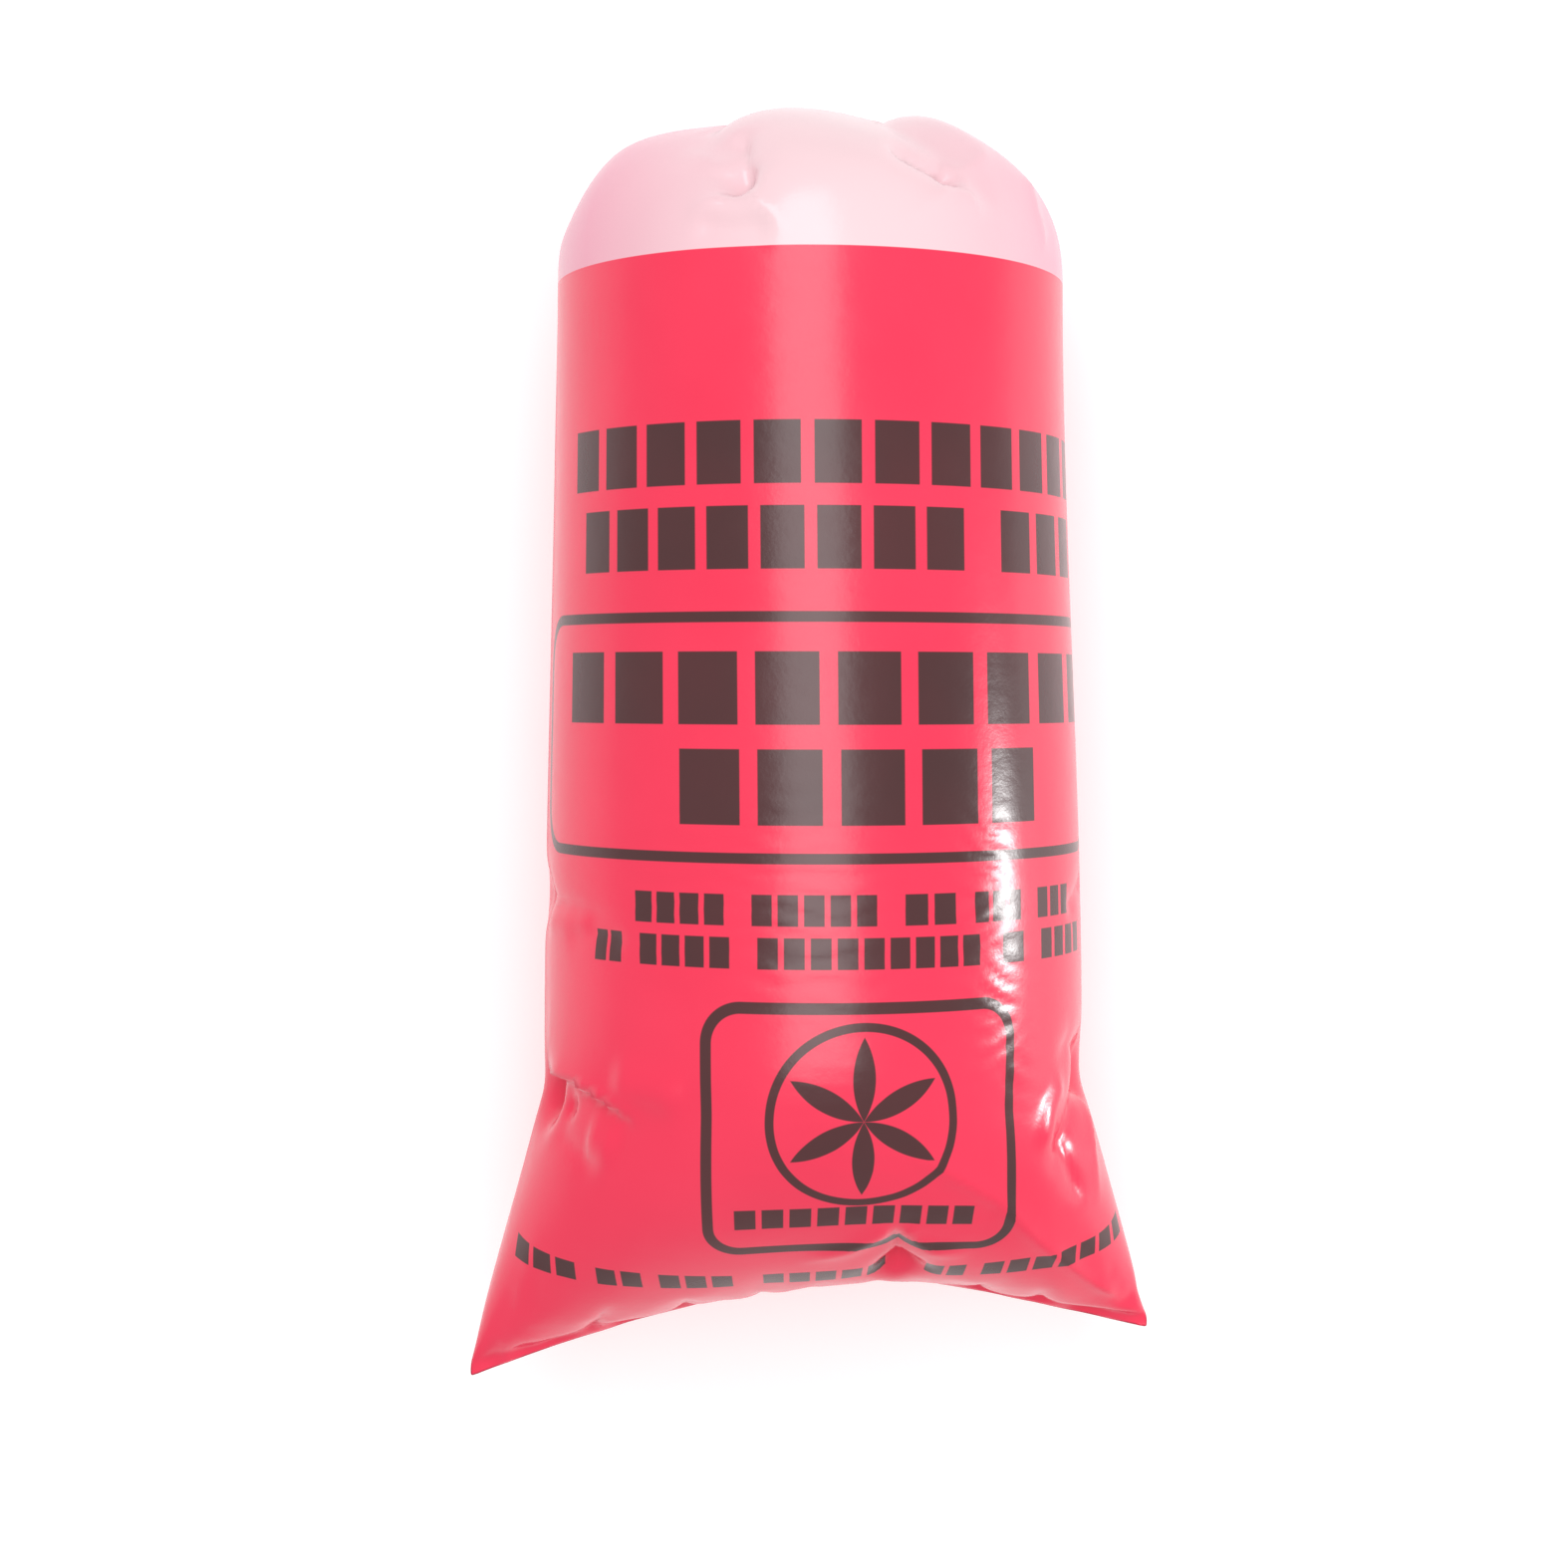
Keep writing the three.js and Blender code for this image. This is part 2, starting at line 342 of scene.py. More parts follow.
@dataclass(frozen=True)
class Crease:
    """A fold line or dent in the film, in millimetres of film.

    Each point of the path is a distance to the right of the front's middle and
    a distance along the film from the sealed edge. A path of one point is a dent.
    """

    path: tuple[tuple[float, float], ...]
    height: float
    width: float
    profile: Profile = Profile.SHARP
    fade: tuple[float, float] = (0.25, 0.25)

    def nearest(self, side: np.ndarray, along: np.ndarray) -> tuple[np.ndarray, np.ndarray]:
        """Finds how each film place lies to the path.

        Args:
            side: distances to the right of the front's middle, in millimetres.
            along: distances along the film from the sealed edge, in millimetres.

        Returns:
            The signed distances to the path, and the shares of its length.
        """
        if len(self.path) == 1:
            (x, y), = self.path
            return np.hypot(side - x, along - y), np.full_like(side, 0.5)
        best = np.full_like(side, np.inf)
        signed = np.zeros_like(side)
        share = np.zeros_like(side)
        for index, ((x0, y0), (x1, y1)) in enumerate(zip(self.path, self.path[1:])):
            run = math.hypot(x1 - x0, y1 - y0)
            ux, uy = (x1 - x0) / run, (y1 - y0) / run
            part = np.clip(((side - x0) * ux + (along - y0) * uy) / run, 0, 1)
            gap = np.hypot(side - x0 - part * run * ux, along - y0 - part * run * uy)
            turn = np.sign(ux * (along - y0) - uy * (side - x0))
            closer = gap < best
            best = np.where(closer, gap, best)
            signed = np.where(closer, gap * turn, signed)
            share = np.where(closer, (index + part) / (len(self.path) - 1), share)
        return signed, share

    def lift(self, side: np.ndarray, along: np.ndarray) -> np.ndarray:
        """Gives how far the crease lifts each film place.

        Args:
            side: distances to the right of the front's middle, in millimetres.
            along: distances along the film from the sealed edge, in millimetres.

        Returns:
            The lifts along the film's normal, in millimetres.
        """
        gap, share = self.nearest(side, along)
        start, end = (max(part, LEAST_FADE) for part in self.fade)
        ends = smooth(share, 0, start) * smooth(1 - share, 0, end)
        if len(self.path) == 1:
            ends = 1.0
        spread = np.abs(gap) / self.width
        if self.profile is Profile.SOFT:
            shape = np.exp(-spread ** 2)
        elif self.profile is Profile.SHARP:
            shape = np.exp(-spread) * np.exp(-(spread / SHARP_REACH) ** 2)
        else:
            shape = np.exp(-spread) * np.where(gap > 0, 1.0, STEP_BACK)
        return self.height * shape * ends


CREASES = (
    # Left edge: the notch under the large frame and its two short creases.
    Crease(((-143, 200),), -3.4, 9, Profile.SOFT),
    Crease(
        ((-145, 202), (-120, 199), (-98, 197), (-70, 195)),
        -2.2, 4.5, Profile.SHARP, (0.1, 0.5),
    ),
    Crease(((-112, 187), (-92, 190), (-70, 187)), -1.3, 4, Profile.SHARP),
    Crease(((-138, 190), (-110, 192), (-90, 193)), 1.2, 4, Profile.SOFT),
    # Left pinch over the corner: a deep dent with a fold that laps over it.
    Crease(((-128, 129),), -9, 9, Profile.SOFT),
    Crease(((-108, 127),), -3.4, 4, Profile.SOFT),
    Crease(
        ((-134, 137), (-112, 137), (-99, 135), (-82, 131), (-64, 122)),
        4.6, 7, Profile.STEP, (0.05, 0.3),
    ),
    Crease(((-82, 139), (-63, 137), (-46, 134)), 2.6, 7, Profile.SOFT),
    Crease(((-94, 118), (-76, 115)), 2.2, 7, Profile.SOFT),
    Crease(((-118, 122), (-100, 113), (-84, 107)), -1.6, 5, Profile.SHARP),
    # Right pinch, with its folds spreading down and inwards.
    Crease(((138, 135),), -7, 10, Profile.SOFT),
    Crease(((140, 136), (120, 126), (104, 114), (92, 98)), -3, 5, Profile.SHARP, (0.05, 0.5)),
    Crease(((140, 142), (118, 148), (100, 143)), -2.2, 5, Profile.SHARP, (0.05, 0.5)),
    Crease(((103, 120), (108, 102), (114, 86)), -2.6, 5, Profile.SHARP, (0.2, 0.4)),
    Crease(((138, 130), (126, 108), (124, 82)), 2.4, 5, Profile.SHARP, (0.1, 0.5)),
    Crease(((110, 138), (98, 126), (90, 110)), 2, 5, Profile.SOFT),
    Crease(((112, 196), (132, 202), (148, 206)), -1.8, 4, Profile.SHARP),
    # The long ridge from the small frame to the right corner.
    Crease(
        ((30, 118), (49, 106), (70, 93), (89, 73), (124, 43), (144, 26)),
        2.2, 4.5, Profile.SHARP, (0.2, 0.2),
    ),
    # The tuck that the sealed edge pulls in under the small frame.
    Crease(((36, 48),), -8, 8, Profile.SOFT),
    Crease(((31, 80), (33, 64), (36, 42)), -5, 5, Profile.SHARP, (0.3, 0.1)),
    Crease(((30, 77), (12, 66), (-10, 60)), 1.8, 4.5, Profile.SHARP, (0.1, 0.5)),
    Crease(((32, 78), (46, 66), (64, 63)), 2, 4.5, Profile.SHARP, (0.1, 0.5)),
    # Creases that run up from the sealed edge.
    Crease(((-98, 6), (-90, 26), (-84, 44)), -2.6, 4.5, Profile.SHARP, (0.05, 0.6)),
    Crease(((-58, 4), (-53, 24), (-54, 40)), -3, 4.5, Profile.SHARP, (0.05, 0.6)),
    Crease(((-24, 4), (-21, 20), (-24, 34)), -2.6, 4, Profile.SHARP, (0.05, 0.6)),
    Crease(((72, 4), (76, 22), (72, 42)), -2.8, 4.5, Profile.SHARP, (0.05, 0.6)),
    Crease(((104, 4), (102, 22), (98, 40)), -2.4, 4, Profile.SHARP, (0.05, 0.6)),
    # The two gathers that show in the unprinted band, each with its pit.
    Crease(((-28, 456),), -8, 6, Profile.SOFT),
    Crease(((-28, 458), (-29, 470), (-34, 484)), -5, 6, Profile.SHARP, (0.1, 0.3)),
    Crease(((-28, 453), (-36, 447), (-48, 441)), 2.2, 4, Profile.SHARP, (0.1, 0.4)),
    Crease(((-27, 453), (-18, 445), (-8, 436)), 2.2, 4, Profile.SHARP, (0.1, 0.4)),
    Crease(((-45, 440), (-28, 437), (-12, 437)), -2.2, 5, Profile.SOFT),
    Crease(((-28, 459), (-42, 467), (-61, 477)), 2, 5, Profile.SHARP, (0.1, 0.5)),
    Crease(((56, 461),), -4.6, 5, Profile.SOFT),
    Crease(((58, 461), (45, 467), (30, 476)), -4.4, 4.5, Profile.SHARP, (0.1, 0.3)),
    Crease(((57, 460), (62, 450), (64, 440)), 2, 4.5, Profile.SHARP, (0.1, 0.5)),
    Crease(((56, 459), (46, 449), (34, 441)), 2, 5, Profile.SHARP, (0.1, 0.5)),
    Crease(((58, 463), (76, 470), (94, 484)), 2, 5, Profile.SHARP, (0.1, 0.5)),
    Crease(((106, 436), (104, 454), (112, 472)), 1.4, 4, Profile.SHARP),
    # The tube's own fold lines, pressed in when it was made flat.
    Crease(((-144, 60), (-144, 250), (-144, 440)), 0.8, 3, Profile.SHARP, (0.2, 0.2)),
    Crease(((166, 60), (166, 250), (166, 440)), 0.8, 3, Profile.SHARP, (0.2, 0.2)),
)


RIPPLE_WANDER = ((1.7, 11, 23, 0), (1.1, 5.3, -9, 2))


@dataclass(frozen=True)
class Ripple:
    """A patch of fine ripples in the film, in millimetres of film."""

    centre: tuple[float, float]
    reach: tuple[float, float]
    height: float
    pitch: float
    slant: float

    def lift(self, side: np.ndarray, along: np.ndarray) -> np.ndarray:
        """Gives how far the ripples lift each film place.

        Args:
            side: distances to the right of the front's middle, in millimetres.
            along: distances along the film from the sealed edge, in millimetres.

        Returns:
            The lifts along the film's normal, in millimetres.
        """
        x, y = side - self.centre[0], along - self.centre[1]
        patch = np.exp(-(x / self.reach[0]) ** 2 - (y / self.reach[1]) ** 2)
        phase = (y + self.slant * x) / self.pitch * 2 * math.pi
        waves = (size * np.sin(x / wide + y / long + start) for size, wide, long, start in RIPPLE_WANDER)
        wander = sum(waves)
        return self.height * patch * np.sin(phase + wander)


RIPPLES = (
    Ripple((-20, 210), (70, 24), 0.22, 7, 0.05),
    Ripple((-10, 178), (80, 16), 0.16, 9, -0.04),
    Ripple((61, 222), (13, 14), 0.24, 10, 0.5),
    Ripple((58, 195), (11, 12), 0.3, 15, -0.6),
    Ripple((70, 170), (10, 12), 0.26, 9, 0.4),
    Ripple((69, 152), (10, 9), 0.24, 8, -0.5),
    Ripple((82, 138), (10, 9), 0.26, 11, 0.3),
    Ripple((20, 120), (45, 30), 0.1, 8, 0.1),
)


@dataclass
class BagFilm:
    """The one film piece of the bag, from its sealed edge to the tail's mouth."""

    form: FilmForm = field(default_factory=FilmForm)
    columns: int = 132
    rows: int = 144
    settle_frames: int = 16
    pressure: float = 20
    stiffness: float = 40
    bending: float = 0.02
    most_slack: float = 0.2
    quality: int = 6
    mass: float = 0.01
    neck_hold: float = 5 * MM
    weld_gap: float = 0.01 * MM
    slack_turns: int = 361
    slack_places: int = 120

    def sheet(self) -> bpy.types.Object:
        """Makes the flat grid of film and lays it on the blown-up form.

        Returns:
            The film's object, linked to the scene.
        """
        mesh = bmesh.new()
        mesh.loops.layers.uv.new("film")
        bmesh.ops.create_grid(mesh, x_segments=self.columns, y_segments=self.rows, size=0.5, calc_uvs=True)
        layers = [mesh.verts.layers.float.new(name) for name in ("across", "facing", "along")]
        grid = np.array([vert.co[:] for vert in mesh.verts])
        angles = grid[:, 0] * 2 * math.pi
        alongs = (grid[:, 1] + 0.5) * self.form.cut_length
        numbers = np.stack((np.sin(angles), np.cos(angles), alongs), axis=1)
        laid = self.form.evened(angles, alongs)
        for vert, place, values in zip(mesh.verts, self.form.blown(laid, alongs), numbers):
            vert.co = place
            for layer, value in zip(layers, values):
                vert[layer] = value
        bmesh.ops.remove_doubles(mesh, verts=mesh.verts, dist=self.weld_gap)
        mouth = [edge for edge in mesh.edges if edge.is_boundary]
        bmesh.ops.holes_fill(mesh, edges=mouth, sides=0)
        bmesh.ops.recalc_face_normals(mesh, faces=mesh.faces)
        if mesh.calc_volume(signed=True) < 0:
            bmesh.ops.reverse_faces(mesh, faces=mesh.faces)
        for face in mesh.faces:
            face.smooth = True
        data = bpy.data.meshes.new("bag_film")
        mesh.to_mesh(data)
        mesh.free()
        piece = bpy.data.objects.new("bag_film", data)
        bpy.context.scene.collection.objects.link(piece)
        return piece

    def numbers(self, data: bpy.types.Mesh) -> tuple[np.ndarray, np.ndarray]:
        """Reads each vertex's place on the film.

        Args:
            data: the film's mesh.

        Returns:
            The distances to the right of the front's middle and along the film, in millimetres.
        """
        read = []
        for name in ("across", "facing", "along"):
            values = np.empty(len(data.vertices), dtype=np.float32)
            data.attributes[name].data.foreach_get("value", values)
            read.append(values.astype(float))
        return np.arctan2(read[0], read[1]) * self.form.radius / MM, read[2] / MM

    def slack(self, alongs: np.ndarray) -> np.ndarray:
        """Gives how much longer than the form the film is round it.

        Args:
            alongs: distances along the film from the sealed edge, in metres.

        Returns:
            The spare shares of the form's girth.
        """
        turns = np.linspace(0, 2 * math.pi, self.slack_turns)
        places = np.linspace(0, self.form.cut_length, self.slack_places)
        rings = [self.form.blown(turns, np.full_like(turns, place)) for place in places]
        rounds = np.array([np.linalg.norm(np.diff(ring, axis=0), axis=1).sum() for ring in rings])
        spare = 2 * self.form.flat_width / rounds - 1
        return np.interp(alongs, places, spare)

    def blow_up(self, piece: bpy.types.Object) -> None:
        """Lets air pressure draw the film out, so that what it has to spare buckles.

        Args:
            piece: the film's object.
        """
        _, alongs = self.numbers(piece.data)
        alongs = alongs * MM
        held = piece.vertex_groups.new(name="held")
        gathered = alongs >= self.form.neck_start - self.neck_hold
        sealed = alongs < self.form.seam_film / 2
        for index in np.nonzero(gathered | sealed)[0]:
            held.add([int(index)], 1.0, "REPLACE")
        spare = piece.vertex_groups.new(name="spare")
        for index, share in enumerate(np.clip(self.slack(alongs) / self.most_slack, 0, 1)):
            spare.add([index], float(share), "REPLACE")
        cloth = piece.modifiers.new("air", "CLOTH")
        air = cloth.settings
        air.quality = self.quality
        air.mass = self.mass
        air.tension_stiffness = self.stiffness
        air.compression_stiffness = self.stiffness
        air.shear_stiffness = self.stiffness / 2
        air.bending_stiffness = self.bending
        air.use_pressure = True
        air.uniform_pressure_force = self.pressure
        air.effector_weights.gravity = 0
        air.vertex_group_mass = held.name
        air.vertex_group_shrink = spare.name
        air.shrink_min = 0
        air.shrink_max = -self.most_slack
        cloth.collision_settings.use_collision = False
        cloth.point_cache.frame_start = 1
        cloth.point_cache.frame_end = self.settle_frames
        for number in range(1, self.settle_frames + 1):
            bpy.context.scene.frame_set(number)
        bpy.context.view_layer.objects.active = piece
        bpy.ops.object.modifier_apply(modifier=cloth.name)
        piece.vertex_groups.clear()
        bpy.context.scene.frame_set(1)

    def refine(self, piece: bpy.types.Object) -> None:
        """Halves the film's grid once, so that it can hold fine creases.

        Args:
            piece: the film's object.
        """
        finer = piece.modifiers.new("finer", "SUBSURF")
        finer.levels = finer.render_levels = 1
        bpy.context.view_layer.objects.active = piece
        bpy.ops.object.modifier_apply(modifier=finer.name)

    def crease(self, piece: bpy.types.Object) -> None:
        """Presses the creases and ripples into the film and rests it on the floor.

        Args:
            piece: the film's object.
        """
        data = piece.data
        side, along = self.numbers(data)
        lift = sum(mark.lift(side, along) for mark in CREASES + RIPPLES)
        places = np.empty(len(data.vertices) * 3)
        data.vertices.foreach_get("co", places)
        normals = np.empty(len(data.vertices) * 3)
        data.vertices.foreach_get("normal", normals)
        places = places.reshape(-1, 3) + normals.reshape(-1, 3) * lift[:, None] * MM
        places[:, 2] = np.maximum(places[:, 2], 0)
        data.vertices.foreach_set("co", places.ravel())
        data.update()

    def make(self) -> bpy.types.Object:
        """Builds the finished film piece.

        Returns:
            The film's object, without its material.
        """
        piece = self.sheet()
        self.blow_up(piece)
        self.refine(piece)
        self.crease(piece)
        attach(piece, "root")
        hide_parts("bag")
        return piece


class Sum:
    """A shader socket in an expression: an operation on it adds a Math node."""

    def __init__(self, tree: bpy.types.NodeTree, socket: bpy.types.NodeSocket) -> None:
        """Wraps one socket of a node tree."""
        self.tree = tree
        self.socket = socket

    def math(self, operation: str, *others: "Sum | float") -> "Sum":
        """Adds a Math node on this value and others.

        Args:
            operation: the Math node's operation.
            others: its other values, two at most.

        Returns:
            The node's result.
        """
        node = self.tree.nodes.new("ShaderNodeMath")
        node.operation = operation
        for slot, value in zip(node.inputs, (self, *others)):
            if isinstance(value, Sum):
                self.tree.links.new(value.socket, slot)
            else:
                slot.default_value = value
        return Sum(self.tree, node.outputs[0])

    def _flip(self, operation: str, other: float) -> "Sum":
        """Adds a Math node with a plain number first.

        Args:
            operation: the Math node's operation.
            other: the number.

        Returns:
            The node's result.
        """
        node = self.tree.nodes.new("ShaderNodeMath")
        node.operation = operation
        node.inputs[0].default_value = other
        self.tree.links.new(self.socket, node.inputs[1])
        return Sum(self.tree, node.outputs[0])

    def __add__(self, other: "Sum | float") -> "Sum":
        """Adds."""
        return self.math("ADD", other)

    __radd__ = __add__

    def __sub__(self, other: "Sum | float") -> "Sum":
        """Takes away."""
        return self.math("SUBTRACT", other)

    def __rsub__(self, other: float) -> "Sum":
        """Takes this away from a number."""
        return self._flip("SUBTRACT", other)

    def __mul__(self, other: "Sum | float") -> "Sum":
        """Multiplies."""
        return self.math("MULTIPLY", other)

    __rmul__ = __mul__

    def __truediv__(self, other: "Sum | float") -> "Sum":
        """Divides."""
        return self.math("DIVIDE", other)

    def __abs__(self) -> "Sum":
        """Gives the size without its sign."""
        return self.math("ABSOLUTE")

    def max(self, other: "Sum | float") -> "Sum":
        """Gives the larger of two values."""
        return self.math("MAXIMUM", other)

    def min(self, other: "Sum | float") -> "Sum":
        """Gives the smaller of two values."""
        return self.math("MINIMUM", other)

    def under(self, limit: "Sum | float", blur: float) -> "Sum":
        """Gives 1 where this is under a limit, with an edge as wide as blur."""
        return ((limit - self) / blur + 0.5).math("MINIMUM", 1.0).max(0.0)


MIX_SHARE, MIX_LOW, MIX_HIGH, MIX_COLOUR = 0, 6, 7, 2


class Shader:
    """A material under construction."""

    def __init__(self, name: str) -> None:
        """Starts a material with one Principled shader."""
        self.material = bpy.data.materials.new(name)
        self.material.use_nodes = True
        self.tree = self.material.node_tree
        self.skin = self.tree.nodes["Principled BSDF"]

    def node(self, kind: str, settings: dict | None = None, **sockets: object) -> bpy.types.Node:
        """Adds a node.

        Args:
            kind: the node's type.
            settings: the node's own properties, set first.
            sockets: values or links for its inputs, with _ for a space in a name.

        Returns:
            The new node.
        """
        node = self.tree.nodes.new(kind)
        for key, value in (settings or {}).items():
            setattr(node, key, value)
        for key, value in sockets.items():
            self.join(node.inputs[key.replace("_", " ")], value)
        return node

    def join(self, slot: bpy.types.NodeSocket, value: object) -> None:
        """Links a socket or sets its value.

        Args:
            slot: the input socket.
            value: a value in an expression, another socket, or a plain value.
        """
        if isinstance(value, Sum):
            self.tree.links.new(value.socket, slot)
        elif isinstance(value, bpy.types.NodeSocket):
            self.tree.links.new(value, slot)
        else:
            slot.default_value = value

    def value(self, socket: bpy.types.NodeSocket) -> Sum:
        """Wraps a socket for use in an expression."""
        return Sum(self.tree, socket)

    def blend(self, share: Sum, low: object, high: object) -> bpy.types.NodeSocket:
        """Mixes two colours.

        Args:
            share: how much of the second colour there is.
            low: the first colour.
            high: the second colour.

        Returns:
            The mixed colour.
        """
        node = self.node("ShaderNodeMix", {"data_type": "RGBA"})
        self.join(node.inputs[MIX_SHARE], share)
        self.join(node.inputs[MIX_LOW], low)
        self.join(node.inputs[MIX_HIGH], high)
        return node.outputs[MIX_COLOUR]

    def noise(self, place: object, scale: float, detail: float = 2.0, rough: float = 0.5) -> Sum:
        """Adds a noise value at a place."""
        node = self.node("ShaderNodeTexNoise", Vector=place, Scale=scale, Detail=detail, Roughness=rough)
        return self.value(node.outputs["Fac"])


def paint(red: float, green: float, blue: float) -> tuple[float, float, float, float]:
    """Turns a colour as it is seen into the renderer's own.

    Args:
        red: the red part, 0 to 255.
        green: the green part, 0 to 255.
        blue: the blue part, 0 to 255.

    Returns:
        The linear colour, with an alpha of 1.
    """
    def linear(part: float) -> float:
        """Turns one part of the colour."""
        part /= 255
        return part / 12.92 if part <= 0.04045 else ((part + 0.055) / 1.055) ** 2.4
    return (linear(red), linear(green), linear(blue), 1.0)


@dataclass(frozen=True)
class Row:
    """A printed row of plain blocks, in millimetres of film.

    Each word is its left and right end, and its blocks repeat at the pitch.
    The bow is how far the row has risen at the bow's reach from its middle.
    """

    low: float
    high: float
    pitch: float
    words: tuple[tuple[float, float], ...]
    bow: float = 0
    bow_middle: float = 5
    bow_reach: float = 100
    block_half: float = 0.39

    def mask(self, side: Sum, along: Sum, blur: float) -> Sum:
        """Gives 1 on the row's blocks.

        Args:
            side: distance to the right of the front's middle, in millimetres.
            along: distance along the film from the sealed edge, in millimetres.
            blur: the width of the mask's edge, in millimetres.

        Returns:
            The mask.
        """
        middle, half = (self.low + self.high) / 2, (self.high - self.low) / 2
        if self.bow:
            away = (side - self.bow_middle) / self.bow_reach
            along = along - away * away * self.bow
        line = abs(along - middle).under(half, blur)
        inked = None
        for left, right in self.words:
            word = abs(side - (left + right) / 2).under((right - left) / 2, blur)
            count = max(1, round((right - left) / self.pitch))
            pitch = (right - left) / count
            place = ((side - left) / pitch).math("FRACT")
            block = abs(place - 0.5).under(self.block_half, blur / pitch)
            word = word * block
            inked = word if inked is None else inked.max(word)
        return line * inked


ROWS = (
    Row(349, 371, 21, ((-108, 146),)),
    Row(319.5, 341.5, 20, ((-100, 58), (71, 137))),
    Row(265.5, 291, 28, ((-111, 149),)),
    Row(230.5, 257, 28, ((-53, 93),)),
    Row(195.5, 206.5, 9.5, ((-70, -32), (-24, 22), (30, 52), (58, 82), (90, 116))),
    Row(180.5, 191.5, 9.5, ((-91, -75), (-68, -30), (-22, 62), (70, 84), (92, 130))),
    Row(82, 91.5, 10.5, ((-31, 61),)),
    Row(42, 51.5, 10.5, ((-131, -96), (-89, -68), (-63, -31), (-21, 32), (45, 63), (68, 143)), 16),
)


@dataclass(frozen=True)
class Border:
    """A printed rounded frame, in millimetres of film."""

    centre: tuple[float, float]
    half: tuple[float, float]
    corner: float
    line: float

    def mask(self, side: Sum, along: Sum, blur: float) -> Sum:
        """Gives 1 on the frame's line.

        Args:
            side: distance to the right of the front's middle, in millimetres.
            along: distance along the film from the sealed edge, in millimetres.
            blur: the width of the mask's edge, in millimetres.

        Returns:
            The mask.
        """
        x = (abs(side - self.centre[0]) - (self.half[0] - self.corner)).max(0.0)
        y = (abs(along - self.centre[1]) - (self.half[1] - self.corner)).max(0.0)
        gap = (x * x + y * y).math("SQRT") - self.corner
        return abs(gap).under(self.line / 2, blur)


BORDERS = (
    Border((8, 261), (143, 42), 17, 3.8),
    Border((17.5, 118.5), (57.5, 48.5), 13, 4.2),
)


@dataclass(frozen=True)
class Rosette:
    """A compass-drawn six-petal figure in a ring, in millimetres of film."""

    centre: tuple[float, float] = (16.5, 127)
    reach: float = 30
    ring: float = 3.2
    ring_gap: float = 3.5
    petals: int = 6

    def mask(self, side: Sum, along: Sum, blur: float) -> Sum:
        """Gives 1 on the petals and the ring.

        Args:
            side: distance to the right of the front's middle, in millimetres.
            along: distance along the film from the sealed edge, in millimetres.
            blur: the width of the mask's edge, in millimetres.

        Returns:
            The mask.
        """
        x, y = side - self.centre[0], along - self.centre[1]
        away = (x * x + y * y).math("SQRT")
        inked = abs(away - (self.reach + self.ring_gap)).under(self.ring / 2, blur)
        for number in range(self.petals // 2):
            turn = math.radians(number * 360 / self.petals)
            across = abs(x * math.cos(turn) + y * math.sin(turn))
            level = abs(x * -math.sin(turn) + y * math.cos(turn))
            level = level - self.reach / 2
            off = across + self.reach * math.sqrt(3) / 2
            petal = (off * off + level * level).math("SQRT").under(self.reach, blur)
            inked = inked.max(petal)
        return inked


@dataclass(frozen=True)
class FilmFinish:
    """Glossy thin film: red printed film, an unprinted band painted pinker towards its sides for bounced
    red light and shade, and black print.
    """

    red: tuple = paint(246, 58, 90)
    red_deep: tuple = paint(232, 40, 76)
    band: tuple = paint(236, 204, 209)
    # Painted light: the pink that the band is painted towards its sides, for red light bounced from the
    # bag's inside and shade there.
    band_painted_bounce: tuple = paint(236, 160, 180)
    ink: tuple = paint(58, 38, 38)
    band_start: float = 431
    back_band_start: float = 472
    panel: tuple[float, float] = (-144, 166)
    blur: float = 0.35
    panel_blur: float = 1.0
    cloud_scale: float = 14
    painted_bounce_middle: float = 10
    painted_bounce_reach: float = 110
    least_ink: float = 0.93
    roughness: float = 0.2
    roughness_change: float = 0.08
    crinkle_scale: float = 130
    grain_scale: float = 900
    grain_share: float = 0.15
    relief_strength: float = 0.25
    relief_depth: float = 0.0004
    refraction: float = 1.5

    def make(self, form: FilmForm) -> bpy.types.Material:
        """Builds the film's material on its own UV map.

        Args:
            form: the film's sizes.

        Returns:
            The material.
        """
        shader = Shader("film")
        flat = shader.node("ShaderNodeUVMap", {"uv_map": "film"})
        split = shader.node("ShaderNodeSeparateXYZ", Vector=flat.outputs["UV"])
        side = (shader.value(split.outputs["X"]) - 0.5) * (form.flat_width * 2 / MM)
        along = shader.value(split.outputs["Y"]) * (form.cut_length / MM)
        shape = shader.node("ShaderNodeTexCoord").outputs["Object"]

        panel_middle, panel_half = sum(self.panel) / 2, (self.panel[1] - self.panel[0]) / 2
        front = abs(side - panel_middle).under(panel_half, self.panel_blur)
        start = self.back_band_start + front * (self.band_start - self.back_band_start)
        printed = along.under(start, self.blur)

        ink = None
        for mark in (*ROWS, *BORDERS, Rosette()):
            shown = mark.mask(side, along, self.blur)
            ink = shown if ink is None else ink.max(shown)
        cloud = shader.noise(shape, self.cloud_scale, 3)
        red = shader.blend(cloud, self.red, self.red_deep)
        # Painted light: the band grows pinker away from its middle, painted bounced red light and shade
        # rather than a tint of the film.
        edge = (abs(side - self.painted_bounce_middle) / self.painted_bounce_reach).min(1.0)
        band = shader.blend(edge * edge, self.band, self.band_painted_bounce)
        film = shader.blend(printed, band, red)
        cover = self.least_ink + cloud * (1 - self.least_ink)
        film = shader.blend(ink * printed * cover, film, self.ink)
        shader.join(shader.skin.inputs["Base Color"], film)

        grain = shader.noise(shape, self.grain_scale, 2)
        crinkle = shader.noise(shape, self.crinkle_scale, 4, 0.6)
        relief = shader.node(
            "ShaderNodeBump",
            Strength=self.relief_strength,
            Distance=self.relief_depth,
            Height=crinkle + grain * self.grain_share,
        )
        shader.join(shader.skin.inputs["Normal"], relief.outputs["Normal"])
        shader.join(shader.skin.inputs["Roughness"], self.roughness + crinkle * self.roughness_change)
        shader.skin.inputs["IOR"].default_value = self.refraction
        return shader.material


